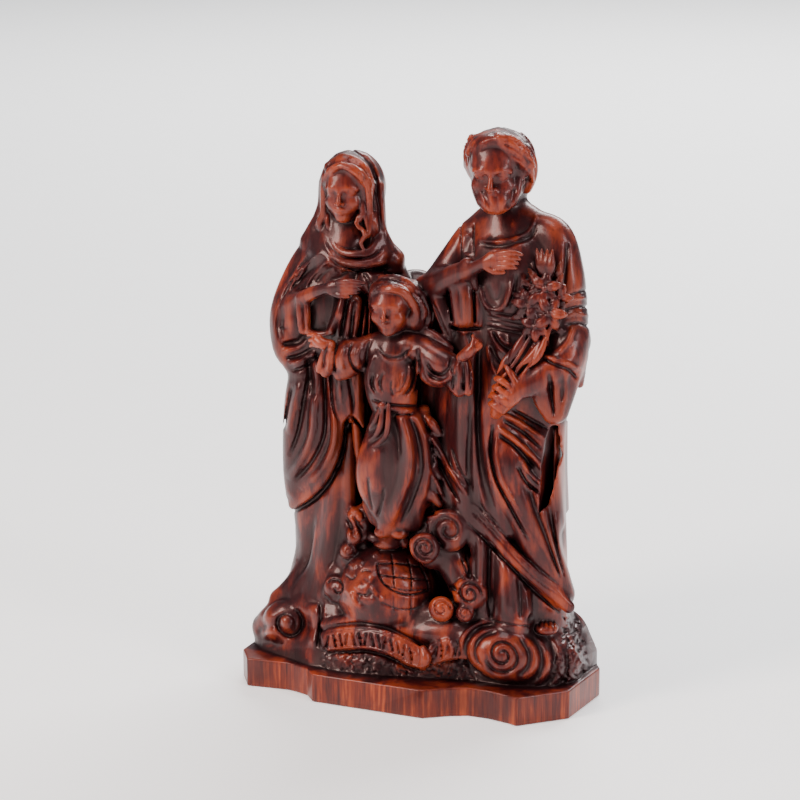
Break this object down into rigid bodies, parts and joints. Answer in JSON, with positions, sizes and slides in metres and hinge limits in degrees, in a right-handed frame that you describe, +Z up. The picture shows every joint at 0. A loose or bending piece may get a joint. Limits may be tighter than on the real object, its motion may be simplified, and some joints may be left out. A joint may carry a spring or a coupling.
{
  "type": "holy family statue",
  "caption": "Carved wooden group of a mother, a father with lilies and a child standing on a globe among clouds, on a scalloped slab.",
  "frame": {"origin": "middle of the slab's underside, at the bottom centre of the bounding box", "axes": "+Z up along the figures, the longest extent; -Y towards the front that the figures face, +Y into the flat back, the shortest extent; +X to the viewer's right, the father's side"},
  "size_m": [0.1832, 0.075, 0.2957],
  "materials": {
    "stained_wood": "satin lacquer over dark red-brown stain"
  },
  "bodies": {
    "root": {"holy_family_carving": "stained_wood"}
  },
  "joints": []
}
